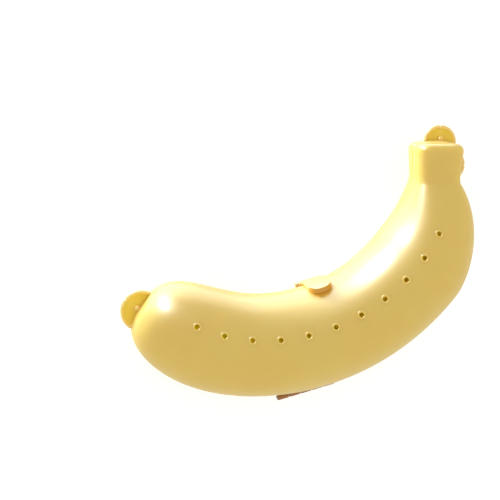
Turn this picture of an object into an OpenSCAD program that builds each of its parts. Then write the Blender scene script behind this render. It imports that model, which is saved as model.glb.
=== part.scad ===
// Banana carrying case: two curved half shells that hinge at the belly, a strap latch on the
// concave side and three finger tabs on the seam.
// The case lies on its back half: X runs from the tip to the stem, Y towards the concave side, Z up.
// The origin is the point of the table under the middle of the tube.

/* [Bend] */
// Radius of the bend that the middle of the tube follows
bend_r = 106.5; // [100:0.5:116]
// Angle from the middle of the hinge to the tip end
tip_angle = 51.5; // [46:0.5:57]
// How far the tip curls in from the bend
tip_lift = 3; // [0:0.5:6]
// Angle at which the tip starts to curl in
lift_angle = 14; // [6:0.5:24]
// Angle at which the shoulder starts to narrow
shoulder_angle = 37.5; // [32:0.5:43]
// Angle at which the shoulder meets the stem
neck_angle = 62.5; // [58.5:0.5:66.5]

/* [Shell] */
// Radius of the tube
body_r = 27; // [25:0.5:30]
// Thickness of the shell
wall = 2.2; // [1.8:0.1:3]
// Gap between the rims of the closed halves
seam = 0.3; // [0.2:0.05:0.5]
// Depth of the flat along the back half, which the case rests on
rest_flat = 0.3; // [0.2:0.05:0.35]
// Length of the rounded tip along the bend
tip_len = 58; // [48:1:66]
// Fullness of the rounded tip, 2 is an ellipse
tip_power = 2.9; // [2:0.1:3.4]

/* [Stem] */
// Distance of the neck's middle from the centre of the bend
neck_r = 94.9; // [91:0.1:97]
// Width of the neck
neck_w = 25; // [24:0.2:28]
// Squareness of the neck, 2 is round
neck_power = 3.5; // [2:0.5:5]
// How suddenly the shoulder narrows
shoulder_power = 1.6; // [1.4:0.1:2.4]
// Direction in which the stem points
stem_angle = 74.5; // [66:0.5:77]
// Length of the stem
stem_len = 20.5; // [19:0.5:26]
// Width of the stem at its base
stem_base_w = 23.4; // [22:0.2:25]
// Width of the stem at its top
stem_top_w = 26.4; // [24:0.2:28]
// Rounding of the stem's top edge
stem_edge_r = 4; // [2.5:0.5:6]
// Rise of the stem's top from its edge to its middle
stem_crown = 1.3; // [0.6:0.1:2]
// Squareness of the stem, 2 is round
stem_power = 4; // [3:0.5:8]

/* [Vents] */
// Number of vents in each half
vent_count = 11; // [5:2:11]
// Angle from one vent to the next
vent_step = 8.5; // [7:0.1:9]
// Angle from the middle of the hinge to the middle vent
vent_shift = 5.5; // [2:0.5:8]
// Turn of the vent row from the crown towards the concave side
vent_turn = 17.5; // [0:0.5:30]
// Radius of a vent
vent_r = 1.2; // [0.8:0.1:2]

/* [Hinge] */
// Distance of the hinge line outside the belly
hinge_out = 0.35; // [0.25:0.05:0.8]
// Distance of the hinge's tip end from the middle of the belly
hinge_reach = 25; // [20:0.5:26]
// Number of knuckles
knuckle_count = 5; // [3:2:7]
// Length of one knuckle
knuckle_len = 6; // [5:0.2:7]
// Gap between knuckles
knuckle_gap = 0.35; // [0.3:0.05:0.6]
// Gap round a knuckle in the other half
knuckle_clear = 0.3; // [0.25:0.05:0.4]
// Radius of a knuckle
knuckle_r = 1.5; // [1.4:0.05:1.7]
// Thickness of the web from a knuckle to its shell
web_t = 1.5; // [1.2:0.1:2]
// Radius of every pin
pin_r = 0.8; // [0.6:0.05:0.9]
// Clearance of a pin in its bore
pin_fit = 0.05; // [0.02:0.01:0.09]
// Radius of a pin head
pin_head_r = 1.2; // [1:0.1:1.4]
// Thickness of a pin head
pin_head_t = 0.6; // [0.4:0.1:1]

/* [Latch] */
// Offset of the latch from the middle of the belly, towards the stem
latch_x = 9.2; // [6:0.2:11]
// Width of the latch strap
latch_w = 12; // [10:0.5:16]
// Thickness of the latch strap
latch_t = 1.5; // [1.2:0.1:2]
// Depth of the recess at its stem end
latch_sink = 1.3; // [1.1:0.1:1.5]
// Gap between the strap and its recess
latch_gap = 0.3; // [0.25:0.05:0.5]
// Reach of the strap over the front half
latch_reach = 15.5; // [12:0.5:16.5]
// Distance of the strap's pivot behind the seam
pivot_back = 12; // [10:0.5:13]
// Radius of the strap's barrel
barrel_r = 1.5; // [1.4:0.05:1.7]
// Height of the finger lip above the strap
lip_h = 1.1; // [0.5:0.1:2]
// Breadth of the finger lip at its middle
lip_b = 2.5; // [1.5:0.1:4]
// Thickness of each ear that holds the pivot
ear_t = 2.5; // [2:0.1:4]

/* [Tabs] */
// Thickness of each finger tab
tab_t = 2; // [1.5:0.1:3]
// Radius of the tip tab
tip_tab_r = 10.8; // [9:0.2:12]
// Shift of the tip tab towards the belly
tip_tab_shift = 3.5; // [0:0.5:5]
// How far the tip tab stands out of the tip
tip_tab_out = 8.8; // [7:0.2:10]
// Radius of the two stem tabs
stem_tab_r = 8.9; // [7:0.1:9.4]
// Shift of the top tab towards the convex side
stem_tab_shift = 2.2; // [0:0.1:2.8]
// How far the top tab stands out of the stem
stem_tab_out = 8; // [5:0.2:8.6]
// How far the side tab stands out of the stem
neck_tab_out = 4.4; // [3.4:0.2:7]
// Space between the top tab's root and the side tab
tab_space = 1; // [0.6:0.1:2]
// How far a tab reaches in past the inside of the shell
tab_root = 0.8; // [0.4:0.1:1]
// Clearance of a tab in its slot
tab_fit = 0.05; // [0.02:0.01:0.1]
// Depth of the small notch in a tab's edge
notch_d = 0.6; // [0.4:0.1:1.2]
// Radius of the button that holds a tab
button_r = 1.5; // [1.2:0.1:2]
// Height of the button above the rim
button_h = 1.6; // [1.2:0.1:2.5]
// Radius of the button's peg
peg_r = 0.8; // [0.5:0.05:1]
// Clearance of the peg in its hole
peg_fit = 0.3; // [0.2:0.05:0.4]

/* [Hidden] */
$fn = 64;
SHELL_COLOR = [0.95, 0.85, 0.48];
TAB_COLOR = [0.90, 0.66, 0.22];
STEEL_COLOR = [0.75, 0.76, 0.78];
// Counts of rows along the shell and of steps round half a section
DOME_ROWS = 11;
BODY_ROWS = 12;
SHOULDER_ROWS = 11;
STEM_ROWS = 4;
EDGE_ROWS = 4;
CROWN_ROWS = 3;
ROUND_STEPS = 18;
// The rows of the stem stand this share of a row below even places, so that the neck's crease stays soft
STEM_ROW_SHIFT = 0.2;
// Least rounding of the stem's inside edge, as a share of the outside's
INNER_EDGE_SHARE = 0.25;
// A cut runs this far past what it cuts
over = 1;
mid_z = body_r - rest_flat;
half_seam = seam / 2;
hinge_y = -(body_r + hinge_out);
recess_r = concave_y(latch_x + latch_w / 2 + latch_gap, 0) - hinge_y - latch_sink;
strap_r = recess_r + latch_gap;
bore_r = pin_r + pin_fit;
knuckle_pitch = knuckle_len + knuckle_gap;
hinge_x0 = -hinge_reach;
hinge_x1 = hinge_x0 + knuckle_count * knuckle_pitch - knuckle_gap;
pivot_y = hinge_y + sqrt(recess_r * recess_r - pivot_back * pivot_back);
pivot_z = mid_z - pivot_back;
ear_x = latch_w / 2 + latch_gap;
tab_z = mid_z - half_seam - tab_t;
dome_end = -tip_angle + deg(tip_len);
rows_per_side = DOME_ROWS + BODY_ROWS + SHOULDER_ROWS + STEM_ROWS + EDGE_ROWS + CROWN_ROWS;

// Angle of an arc length along the bend
function deg(s) = s / bend_r * 180 / PI;
// Distance of the tube's middle from the centre of the bend, at an angle
function mid_r(a) = bend_r - tip_lift * pow(max(0, -a - lift_angle) / (tip_angle - lift_angle), 2);
// Point at a distance from the centre of the bend, at an angle
function bend_pt(r, a) = [r * sin(a), bend_r - r * cos(a)];
// Where the concave side of the tube lies at x, at a height above or below the seam
function concave_y(x, h) = bend_r - sqrt(pow(bend_r - sqrt(body_r * body_r - h * h), 2) - x * x);
// Unit vectors along a direction, and square to it towards the convex side
function along(a) = [cos(a), sin(a)];
function square_to(a) = [sin(a), -cos(a)];
function mix(p, q, t) = p + (q - p) * t;

// Each section is its centre, direction, half width and squareness; "inset" moves it inwards
function dome_angle(t, inset) =
    let (reach = 1 - pow(cos(t), 2 / tip_power))
    -tip_angle + deg(mix(inset, tip_len, reach));
function dome_row(t, inset) =
    let (a = dome_angle(t, inset))
    [bend_pt(mid_r(a), a), a, (body_r - inset) * pow(sin(t), 2 / tip_power), 2];
function body_row(a, inset) = [bend_pt(mid_r(a), a), a, body_r - inset, 2];
function shoulder_row(t, inset) =
    let (a = mix(shoulder_angle, neck_angle, t), e = pow(t, shoulder_power))
    [bend_pt(mix(bend_r, neck_r, e), a), mix(a, stem_angle, e), mix(body_r, neck_w / 2, e) - inset,
        mix(2, neck_power, t * t * t)];
neck_pt = bend_pt(neck_r, neck_angle);
function stem_pt(h) = neck_pt + h * along(stem_angle);
function stem_row(h, half) = [stem_pt(h), stem_angle, half, stem_power];
function stem_half(h) = mix(stem_base_w, stem_top_w, h / stem_len) / 2;
function edge_row(b, inset) =
    let (r = max(stem_edge_r - inset, INNER_EDGE_SHARE * stem_edge_r))
    stem_row(stem_len - inset - r + r * sin(b), stem_half(stem_len) - inset - r * (1 - cos(b)));
function crown_row(t, inset) =
    let (edge = edge_row(90, inset))
    [edge[0] + stem_crown * (1 - pow(1 - t, 2)) * along(stem_angle), stem_angle, edge[2] * (1 - t),
        stem_power];
function rows(inset) = concat(
    [for (i = [1:DOME_ROWS]) dome_row(90 * i / DOME_ROWS, inset)],
    [for (i = [1:BODY_ROWS]) body_row(mix(dome_end, shoulder_angle, i / BODY_ROWS), inset)],
    [for (i = [1:SHOULDER_ROWS]) shoulder_row(i / SHOULDER_ROWS, inset)],
    [for (i = [1:STEM_ROWS])
        let (h = (stem_len - stem_edge_r) * (i - STEM_ROW_SHIFT) / STEM_ROWS)
        stem_row(h, stem_half(h) - inset)],
    [for (i = [1:EDGE_ROWS]) edge_row(90 * i / EDGE_ROWS, inset)],
    [for (i = [1:CROWN_ROWS]) crown_row(i / (CROWN_ROWS + 1), inset)]);
// Points of half a section, from the convex rim over the crown to the concave rim
function round_pt(row, j) =
    let (t = 180 * j / ROUND_STEPS, p = 2 / row[3],
        w = row[2] * sign(cos(t)) * pow(abs(cos(t)), p),
        d = half_seam + (row[2] - half_seam) * pow(max(sin(t), 0), p),
        c = row[0] + w * square_to(row[1]))
    [c.x, c.y, d];
function tip_pole(inset) = let (a = dome_angle(0, inset)) concat(bend_pt(mid_r(a), a), half_seam);
function stem_pole(inset) = concat(stem_pt(stem_len + stem_crown - inset), half_seam);
function skin(inset) = concat([tip_pole(inset)],
    [for (row = rows(inset), j = [0:ROUND_STEPS]) round_pt(row, j)], [stem_pole(inset)]);
SKIN_COUNT = rows_per_side * (ROUND_STEPS + 1) + 2;
// Index of a point: row -1 is the tip's pole and the last row is the stem's pole
function at(base, r, j) =
    let (place = r < 0 ? 0 : r >= rows_per_side ? SKIN_COUNT - 1 : 1 + r * (ROUND_STEPS + 1) + j)
    base + place;
// Triangles of a four-sided patch, without those that a pole closes up
function patch(a, b, c, d) =
    [for (f = [[a, c, b], [a, d, c]]) if (f[0] != f[1] && f[1] != f[2] && f[2] != f[0]) f];
function outer_patch(r, j) =
    patch(at(0, r, j), at(0, r + 1, j), at(0, r + 1, j + 1), at(0, r, j + 1));
function inner_patch(r, j) =
    let (b = SKIN_COUNT)
    patch(at(b, r, j), at(b, r, j + 1), at(b, r + 1, j + 1), at(b, r + 1, j));
function rim_patch(r, j) =
    let (b = SKIN_COUNT, o = at(0, r, j), p = at(0, r + 1, j), q = at(b, r + 1, j), s = at(b, r, j))
    j == 0 ? patch(o, s, q, p) : patch(o, p, q, s);
function each_of(lists) = [for (l = lists, f = l) f];

module half_shell() {
    last = rows_per_side - 1;
    polyhedron(
        points = concat(skin(0), skin(wall)),
        faces = concat(
            each_of([for (r = [-1:last], j = [0:ROUND_STEPS - 1]) outer_patch(r, j)]),
            each_of([for (r = [-1:last], j = [0:ROUND_STEPS - 1]) inner_patch(r, j)]),
            each_of([for (r = [-1:last], j = [0, ROUND_STEPS]) rim_patch(r, j)])));
}

// The row of vents; each cut starts in the hollow, where the shoulder and the tip are narrower too
vent_start = body_r / 2;
module vents() {
    for (i = [0:vent_count - 1]) {
        a = vent_shift + (i - (vent_count - 1) / 2) * vent_step;
        c = bend_pt(mid_r(a), a);
        translate([c.x, c.y, 0])
            rotate([0, 0, a])
            rotate([-vent_turn, 0, 0])
            translate([0, 0, vent_start])
            cylinder(r = vent_r, h = body_r + over - vent_start);
    }
}

// A round bar along X
module bar_x(r, x0, x1, y, z) {
    translate([x0, y, z]) rotate([0, 90, 0]) cylinder(r = r, h = x1 - x0);
}

// Start of knuckle number k; even knuckles belong to the back half and odd ones to the front
function knuckle_x(k) = hinge_x0 + k * knuckle_pitch;

// Every second knuckle from number "first", each with its web into the wall; side is 1 for the front half
module knuckles(first, side) {
    for (k = [first:2:knuckle_count - 1]) {
        bar_x(knuckle_r, knuckle_x(k), knuckle_x(k) + knuckle_len, hinge_y, mid_z);
        difference() {
            translate([knuckle_x(k), hinge_y, side > 0 ? mid_z + half_seam : mid_z - half_seam - web_t])
                cube([knuckle_len, body_r / 2, web_t]);
            translate([0, bend_r, 0]) cylinder(r = bend_r + body_r - wall / 2, h = 2 * body_r);
        }
    }
}

// Room in a half for the other half's knuckles, and for the pin's heads
module knuckle_room(first) {
    for (k = [first:2:knuckle_count - 1])
        bar_x(knuckle_r + knuckle_clear, knuckle_x(k) - knuckle_gap, knuckle_x(k + 1), hinge_y, mid_z);
    head_room = pin_fit + pin_head_t + knuckle_gap;
    bar_x(pin_head_r + knuckle_clear, hinge_x0 - head_room, hinge_x0, hinge_y, mid_z);
    bar_x(pin_head_r + knuckle_clear, hinge_x1, hinge_x1 + head_room, hinge_y, mid_z);
}

module hinge_bore() {
    bar_x(bore_r, hinge_x0 - over, hinge_x1 + over, hinge_y, mid_z);
}

// The hollow under the strap: what lies outside the recess radius about the hinge line
module latch_recess() {
    difference() {
        translate([latch_x - ear_x, 0, mid_z - pivot_back - barrel_r - latch_gap])
            cube([2 * ear_x, 2 * body_r, 2 * (pivot_back + barrel_r + latch_gap)]);
        bar_x(recess_r, latch_x - ear_x - over, latch_x + ear_x + over, hinge_y, mid_z);
    }
}

// The pocket in which the strap's barrel turns
module barrel_pocket() {
    bar_x(barrel_r + latch_gap, latch_x - ear_x, latch_x + ear_x, pivot_y, pivot_z);
}

// Two ears that hold the strap's pin
module latch_ears() {
    for (x0 = [latch_x - ear_x - ear_t, latch_x + ear_x]) {
        foot_y = concave_y(x0 + ear_t / 2, pivot_back) - wall / 2;
        bar_x(barrel_r, x0, x0 + ear_t, pivot_y, pivot_z);
        translate([x0, foot_y, pivot_z - barrel_r])
            cube([ear_t, max(pivot_y - foot_y, wall / 2), 2 * barrel_r]);
    }
}

// The three tabs: middle of the disc, direction in which it points and how far it stands out
tip_tab_a = 180 - tip_angle;
tip_end = bend_pt(mid_r(-tip_angle), -tip_angle);
tip_tab_mid = tip_end + tip_tab_shift * square_to(-tip_angle);
tip_tab_c = tip_tab_mid + (tip_tab_out - tip_tab_r) * along(tip_tab_a);
stem_top = stem_pt(stem_len + stem_crown);
stem_tab_mid = stem_top + stem_tab_shift * square_to(stem_angle);
stem_tab_c = stem_tab_mid + (stem_tab_out - stem_tab_r) * along(stem_angle);
// The side tab sits just below the root of the top tab
neck_tab_h = stem_len + stem_crown - wall - tab_root - tab_space - stem_tab_r;
neck_side = stem_pt(neck_tab_h) + stem_half(neck_tab_h) * square_to(stem_angle);
neck_tab_c = neck_side + (neck_tab_out - stem_tab_r) * square_to(stem_angle);

// A disc cut straight behind the wall, pointing along "a"; "grow" widens it to its slot
module tab_disc(c, r, a, root, grow) {
    translate([c.x, c.y, tab_z - grow])
        rotate([0, 0, a])
        intersection() {
            cylinder(r = r + grow, h = tab_t + (grow > 0 ? grow + seam : 0));
            translate([root - grow, -2 * r, -over]) cube([4 * r, 4 * r, 4 * tab_t + 2 * over]);
        }
}

// Distance of a tab's straight inner edge from the middle of its disc
tip_tab_root = tip_tab_r - tip_tab_out - wall - tab_root;
stem_tab_root = stem_tab_r - stem_tab_out - wall - tab_root;
neck_tab_root = stem_tab_r - neck_tab_out - wall - tab_root;
// Where the button of each tab stands: just outside the shell
button_out = button_r / 2;
tip_button = tip_tab_mid + button_out * along(tip_tab_a);
stem_button = stem_tab_mid + button_out * along(stem_angle);
neck_button = neck_side + button_out * square_to(stem_angle);

module tab_slots() {
    tab_disc(tip_tab_c, tip_tab_r, tip_tab_a, tip_tab_root, tab_fit);
    tab_disc(stem_tab_c, stem_tab_r, stem_angle, stem_tab_root, tab_fit);
    tab_disc(neck_tab_c, stem_tab_r, stem_angle - 90, neck_tab_root, tab_fit);
}

// A finger tab with its peg hole and the small notch in its edge
module tab(c, r, a, root, hole) {
    difference() {
        tab_disc(c, r, a, root, 0);
        translate([hole.x, hole.y, tab_z - over]) cylinder(r = peg_r + peg_fit, h = tab_t + 2 * over);
        translate([c.x, c.y, tab_z - over])
            rotate([0, 0, a])
            translate([r - notch_d, 0, 0])
            rotate([0, 0, -45])
            cube([2 * notch_d, 2 * notch_d, tab_t + 2 * over]);
    }
}

module button(p) {
    translate([p.x, p.y, mid_z + half_seam]) cylinder(r = button_r, h = button_h);
    translate([p.x, p.y, tab_z + tab_t / 2]) cylinder(r = peg_r, h = tab_t / 2 + seam + button_h / 2);
}

// A pin along X with a head at each end, clear of what it holds by the pin's own fit
module headed_pin(x0, x1, y, z) {
    bar_x(pin_r, x0 - pin_fit - pin_head_t, x1 + pin_fit + pin_head_t, y, z);
    bar_x(pin_head_r, x0 - pin_fit - pin_head_t, x0 - pin_fit, y, z);
    bar_x(pin_head_r, x1 + pin_fit, x1 + pin_fit + pin_head_t, y, z);
}

module front_shell() {
    color(SHELL_COLOR)
    difference() {
        union() {
            difference() {
                translate([0, 0, mid_z]) half_shell();
                translate([0, 0, mid_z]) vents();
                latch_recess();
                knuckle_room(0);
            }
            knuckles(1, 1);
            for (p = [tip_button, stem_button, neck_button]) button(p);
        }
        hinge_bore();
    }
}

// Everything below the table
module table() {
    translate([-2 * bend_r, -2 * bend_r, -body_r]) cube([4 * bend_r, 4 * bend_r, body_r]);
}

module back_shell() {
    color(SHELL_COLOR)
    difference() {
        union() {
            difference() {
                translate([0, 0, mid_z]) mirror([0, 0, 1]) half_shell();
                table();
                translate([0, 0, mid_z]) mirror([0, 0, 1]) vents();
                latch_recess();
                barrel_pocket();
                tab_slots();
                knuckle_room(1);
            }
            knuckles(0, -1);
            latch_ears();
        }
        hinge_bore();
        bar_x(bore_r, latch_x - ear_x - ear_t - over, latch_x + ear_x + ear_t + over, pivot_y, pivot_z);
    }
}

module hinge_pin() {
    color(STEEL_COLOR) headed_pin(hinge_x0, hinge_x1, hinge_y, mid_z);
}

// A ring about the hinge line, from one radius to another
module latch_ring(r0, r1) {
    difference() {
        bar_x(r1, latch_x - latch_w / 2, latch_x + latch_w / 2, hinge_y, mid_z);
        bar_x(r0, latch_x - latch_w / 2 - over, latch_x + latch_w / 2 + over, hinge_y, mid_z);
    }
}

// A flat outline in X and Z, pushed through along Y
module through_y() {
    translate([latch_x, 2 * body_r, mid_z])
        rotate([90, 0, 0])
        linear_extrude(height = 2 * body_r) children();
}

module centre_latch() {
    round_z = latch_reach - latch_w / 2;
    color(TAB_COLOR)
    difference() {
        union() {
            intersection() {
                latch_ring(strap_r, strap_r + latch_t);
                through_y() {
                    translate([-latch_w / 2, -pivot_back]) square([latch_w, pivot_back + round_z]);
                    translate([0, round_z]) circle(r = latch_w / 2);
                }
            }
            intersection() {
                latch_ring(strap_r + latch_t / 2, strap_r + latch_t + lip_h);
                through_y() difference() {
                    translate([0, round_z]) circle(r = latch_w / 2);
                    translate([0, round_z - lip_b]) circle(r = latch_w / 2);
                }
            }
            bar_x(barrel_r, latch_x - latch_w / 2, latch_x + latch_w / 2, pivot_y, pivot_z);
        }
        bar_x(bore_r, latch_x - latch_w / 2 - over, latch_x + latch_w / 2 + over, pivot_y, pivot_z);
    }
}

module latch_pin() {
    color(STEEL_COLOR)
        bar_x(pin_r, latch_x - ear_x - ear_t, latch_x + ear_x + ear_t, pivot_y, pivot_z);
}

module tip_clip() {
    color(TAB_COLOR) tab(tip_tab_c, tip_tab_r, tip_tab_a, tip_tab_root, tip_button);
}

module stem_clip() {
    color(TAB_COLOR) tab(stem_tab_c, stem_tab_r, stem_angle, stem_tab_root, stem_button);
}

module neck_clip() {
    color(TAB_COLOR) tab(neck_tab_c, stem_tab_r, stem_angle - 90, neck_tab_root, neck_button);
}

front_shell();
back_shell();
hinge_pin();
centre_latch();
latch_pin();
tip_clip();
stem_clip();
neck_clip();
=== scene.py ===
import logging
import math
from dataclasses import asdict, dataclass
from enum import Enum
from types import SimpleNamespace
from typing import Any, Callable, Sequence

import bmesh
import bpy
from mathutils import Matrix, Vector


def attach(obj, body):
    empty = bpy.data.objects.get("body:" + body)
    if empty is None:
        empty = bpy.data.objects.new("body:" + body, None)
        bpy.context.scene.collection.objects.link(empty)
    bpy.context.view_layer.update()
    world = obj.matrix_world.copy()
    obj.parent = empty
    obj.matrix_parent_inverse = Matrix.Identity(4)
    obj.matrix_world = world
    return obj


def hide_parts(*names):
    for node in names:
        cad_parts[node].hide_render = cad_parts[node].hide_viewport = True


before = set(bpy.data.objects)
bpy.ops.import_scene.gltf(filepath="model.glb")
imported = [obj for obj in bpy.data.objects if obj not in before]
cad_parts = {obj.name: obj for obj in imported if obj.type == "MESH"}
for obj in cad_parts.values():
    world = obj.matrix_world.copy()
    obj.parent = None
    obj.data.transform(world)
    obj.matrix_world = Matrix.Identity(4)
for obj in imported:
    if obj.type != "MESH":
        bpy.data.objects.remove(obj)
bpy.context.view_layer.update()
LOG = logging.getLogger("banana_case")
MM = 0.001
RAD = math.pi / 180
QUARTER_TURN = math.pi / 2
HALF_TURN = math.pi
FULL_TURN = 2 * math.pi
RIGHT_ANGLE = 90.0
TINY = 1e-6
WHITE = (1.0, 1.0, 1.0, 1.0)

# Edges sharper than this many degrees stay sharp
CREASE = 40.0

# The vertex layer that says where a piece takes the painted-shade colour: the shade on the edge of
# the strap's lip, and the shade and through-light tone of the tabs' thin sunk panels
PAINTED_SHADE = "thin"

# How deep webs and ears are rooted, in walls
ROOT_SHARE = 0.75

# Numbers of the sockets of a Mix node that works on colours
MIX_FACTOR, MIX_FIRST, MIX_SECOND, MIX_RESULT = 0, 6, 7, 2

Thing = bpy.types.Object
Material = bpy.types.Material
Node = bpy.types.Node
Socket = bpy.types.NodeSocket
Vert = bmesh.types.BMVert
Flat = tuple[float, float]
Spot = tuple[float, float, float]
Colour = tuple[float, float, float, float]


class Side(Enum):
    """The two halves of the case, by the way each one faces from the seam."""

    FRONT = 1
    BACK = -1

    @property
    def word(self) -> str:
        """The side as the names of pieces and nodes have it."""
        return self.name.lower()

    @property
    def body(self) -> str:
        """The body that the half's pieces move with."""
        return self.word + "_half"

    @property
    def other(self) -> "Side":
        """The half across the seam."""
        return Side(-self.value)


class Axis(Enum):
    """The axis that a turned piece is turned about."""

    X = "x"
    Z = "z"


# Nodes


class NodeMaker:
    """Adds nodes to one node tree and links them."""

    def __init__(self, tree: bpy.types.NodeTree) -> None:
        """Keeps the tree that the nodes go into."""
        self.tree = tree

    def add(self, kind: str, settings: dict[str, Any] | None = None,
            inputs: dict[str | int, Any] | None = None) -> Node:
        """Adds one node.

        Args:
            kind: the node's type name.
            settings: attributes that are set before the sockets.
            inputs: what feeds each socket, by name or number; a list holds several links.

        Returns:
            The new node.
        """
        made = self.tree.nodes.new(kind)
        for name, setting in (settings or {}).items():
            setattr(made, name, setting)
        for key, value in (inputs or {}).items():
            for one in value if isinstance(value, list) else [value]:
                self._feed(made.inputs[key], one)
        return made

    def math(self, operation: str, *terms: Any) -> "Value":
        """Adds a Math node on numbers or values and returns what it gives."""
        made = self.add("ShaderNodeMath", {"operation": operation}, dict(enumerate(terms)))
        return Value(self, made.outputs[0])

    def ramp(self, factor: "Value", *stops: tuple[float, Colour]) -> Socket:
        """Adds a colour ramp over a value.

        Args:
            factor: the value.
            stops: place and colour of the two stops.

        Returns:
            The ramp's colour.
        """
        made = self.add("ShaderNodeValToRGB", inputs={"Fac": factor})
        for element, (place, colour) in zip(made.color_ramp.elements, stops):
            element.position = place
            element.color = colour
        return made.outputs["Color"]

    def bump(self, height: "Value", strength: float, depth: float) -> Node:
        """Adds a Bump node on a height."""
        return self.add("ShaderNodeBump", inputs={
            "Strength": strength, "Distance": depth, "Height": height})

    def _feed(self, socket: Socket, value: Any) -> None:
        """Links something to an input, or sets the input's own number.

        Args:
            socket: the input.
            value: a node, whose first output is linked, a Value, an output or a plain setting.
        """
        if isinstance(value, Node):
            value = value.outputs[0]
        elif isinstance(value, Value):
            value = value.socket
        if isinstance(value, Socket):
            self.tree.links.new(value, socket)
        else:
            socket.default_value = value


def math_method(operation: str, swapped: bool = False) -> Callable[..., "Value"]:
    """Makes a method of Value that adds one Math node.

    Args:
        operation: the node's operation.
        swapped: whether the value comes last, as for Python's reflected operators.

    Returns:
        The method.
    """
    def method(value: "Value", *others: Any) -> "Value":
        """Adds the node on this value and the others."""
        terms = (*others, value) if swapped else (value, *others)
        return value.maker.math(operation, *terms)
    return method


class Value:
    """A number on a node socket that Python's operators work on.

    size drops the sign; at_least and at_most give the larger and the smaller of two.
    """

    def __init__(self, maker: NodeMaker, socket: Socket) -> None:
        """Wraps an output socket of the maker's tree."""
        self.maker = maker
        self.socket = socket

    __add__ = __radd__ = math_method("ADD")
    __mul__ = __rmul__ = math_method("MULTIPLY")
    __sub__ = math_method("SUBTRACT")
    __rsub__ = math_method("SUBTRACT", swapped=True)
    __truediv__ = math_method("DIVIDE")
    __rtruediv__ = math_method("DIVIDE", swapped=True)
    __pow__ = math_method("POWER")
    sin = math_method("SINE")
    cos = math_method("COSINE")
    sign = math_method("SIGN")
    size = math_method("ABSOLUTE")
    at_least = math_method("MAXIMUM")
    at_most = math_method("MINIMUM")

    def span(self, start: float, end: float) -> "Value":
        """Goes from 0 to 1 as this value goes from start to end, and stays there."""
        return ((self - start) / (end - start)).at_least(0.0).at_most(1.0)

    def about(self, middle: float, spread: float) -> "Value":
        """Runs over a spread about a middle as this value goes from 0 to 1."""
        return self * spread + (middle - spread / 2)


# Finishes


def srgb(red: int, green: int, blue: int) -> Colour:
    """Turns a colour as seen, 0 to 255 each, into the shader's own numbers.

    Args:
        red: red part.
        green: green part.
        blue: blue part.

    Returns:
        Red, green, blue and full alpha.
    """
    parts = [c / 255 for c in (red, green, blue)]
    return (*(c / 12.92 if c <= 0.04045 else ((c + 0.055) / 1.055) ** 2.4 for c in parts), 1.0)


@dataclass(frozen=True)
class Noise:
    """A noise over an object: its scale to a metre, its detail and its roughness."""

    per_m: float
    detail: float = 2.0
    roughness: float = 0.5

    def over(self, maker: NodeMaker, place: Any) -> Value:
        """Adds the noise to a tree and returns its height."""
        made = maker.add("ShaderNodeTexNoise", inputs={
            "Vector": place, "Scale": self.per_m, "Detail": self.detail,
            "Roughness": self.roughness})
        return Value(maker, made.outputs["Fac"])


@dataclass(frozen=True)
class Finish:
    """A finish that gives one material."""

    name: str

    def material(self) -> Material:
        """Makes the material.

        Returns:
            The material, whose surface shader takes what the finish feeds it.
        """
        material = bpy.data.materials.new(self.name)
        material.use_nodes = True
        material.node_tree.nodes.clear()
        maker = NodeMaker(material.node_tree)
        place = maker.add("ShaderNodeTexCoord").outputs["Object"]
        surface = maker.add("ShaderNodeBsdfPrincipled", inputs=self.feeds(maker, place))
        maker.add("ShaderNodeOutputMaterial", inputs={"Surface": surface})
        return material

    def feeds(self, maker: NodeMaker, place: Socket) -> dict[str, Any]:
        """What the surface shader takes; each finish has its own."""
        raise NotImplementedError


@dataclass(frozen=True)
class MouldedPlastic(Finish):
    """Glossy moulded plastic, a little translucent, with faint flow clouds, a fine skin and, where
    a vertex layer asks for it, a second colour that paints shade.
    """

    pale: Colour
    deep: Colour
    # Painted shade: the colour laid where the vertex layer asks for it; it stands for shade, and on
    # thin plastic for light shining through
    thin_colour: Colour | None = None
    subsurface: float = 0.6
    scatter_reach: Spot = (1.0, 0.8, 0.3)
    scatter_scale: float = 0.01
    clouds: Noise = Noise(26.0, 3.0, 0.55)
    cloud_span: Flat = (0.3, 0.75)
    wear: Noise = Noise(130.0, 4.0)
    roughness: float = 0.42
    roughness_spread: float = 0.1
    skin: Noise = Noise(900.0)
    skin_bump: float = 0.035
    skin_depth: float = 0.0002
    coat: float = 0.4
    coat_roughness: float = 0.22
    ior: float = 1.49
    specular: float = 0.8

    def feeds(self, maker: NodeMaker, place: Socket) -> dict[str, Any]:
        """Takes the colour, the roughness and the skin from noise.

        Args:
            maker: the material's node maker.
            place: the Object coordinates.

        Returns:
            What the surface shader takes.
        """
        start, end = self.cloud_span
        colour = maker.ramp(self.clouds.over(maker, place), (start, self.pale), (end, self.deep))
        # Mixes in the painted-shade colour where the vertex layer asks for it
        if self.thin_colour is not None:
            thin = maker.add("ShaderNodeAttribute", {"attribute_name": PAINTED_SHADE}).outputs["Fac"]
            colour = maker.add("ShaderNodeMix", {"data_type": "RGBA"}, {
                MIX_FACTOR: thin, MIX_FIRST: colour,
                MIX_SECOND: self.thin_colour}).outputs[MIX_RESULT]
        wear = self.wear.over(maker, place)
        skin = self.skin.over(maker, place)
        return {
            "Base Color": colour,
            "Roughness": wear.about(self.roughness, self.roughness_spread),
            "Normal": maker.bump(skin, self.skin_bump, self.skin_depth),
            "IOR": self.ior,
            "Specular IOR Level": self.specular,
            "Subsurface Weight": self.subsurface,
            "Subsurface Radius": self.scatter_reach,
            "Subsurface Scale": self.scatter_scale,
            "Coat Weight": self.coat,
            "Coat Roughness": self.coat_roughness,
        }


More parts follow.
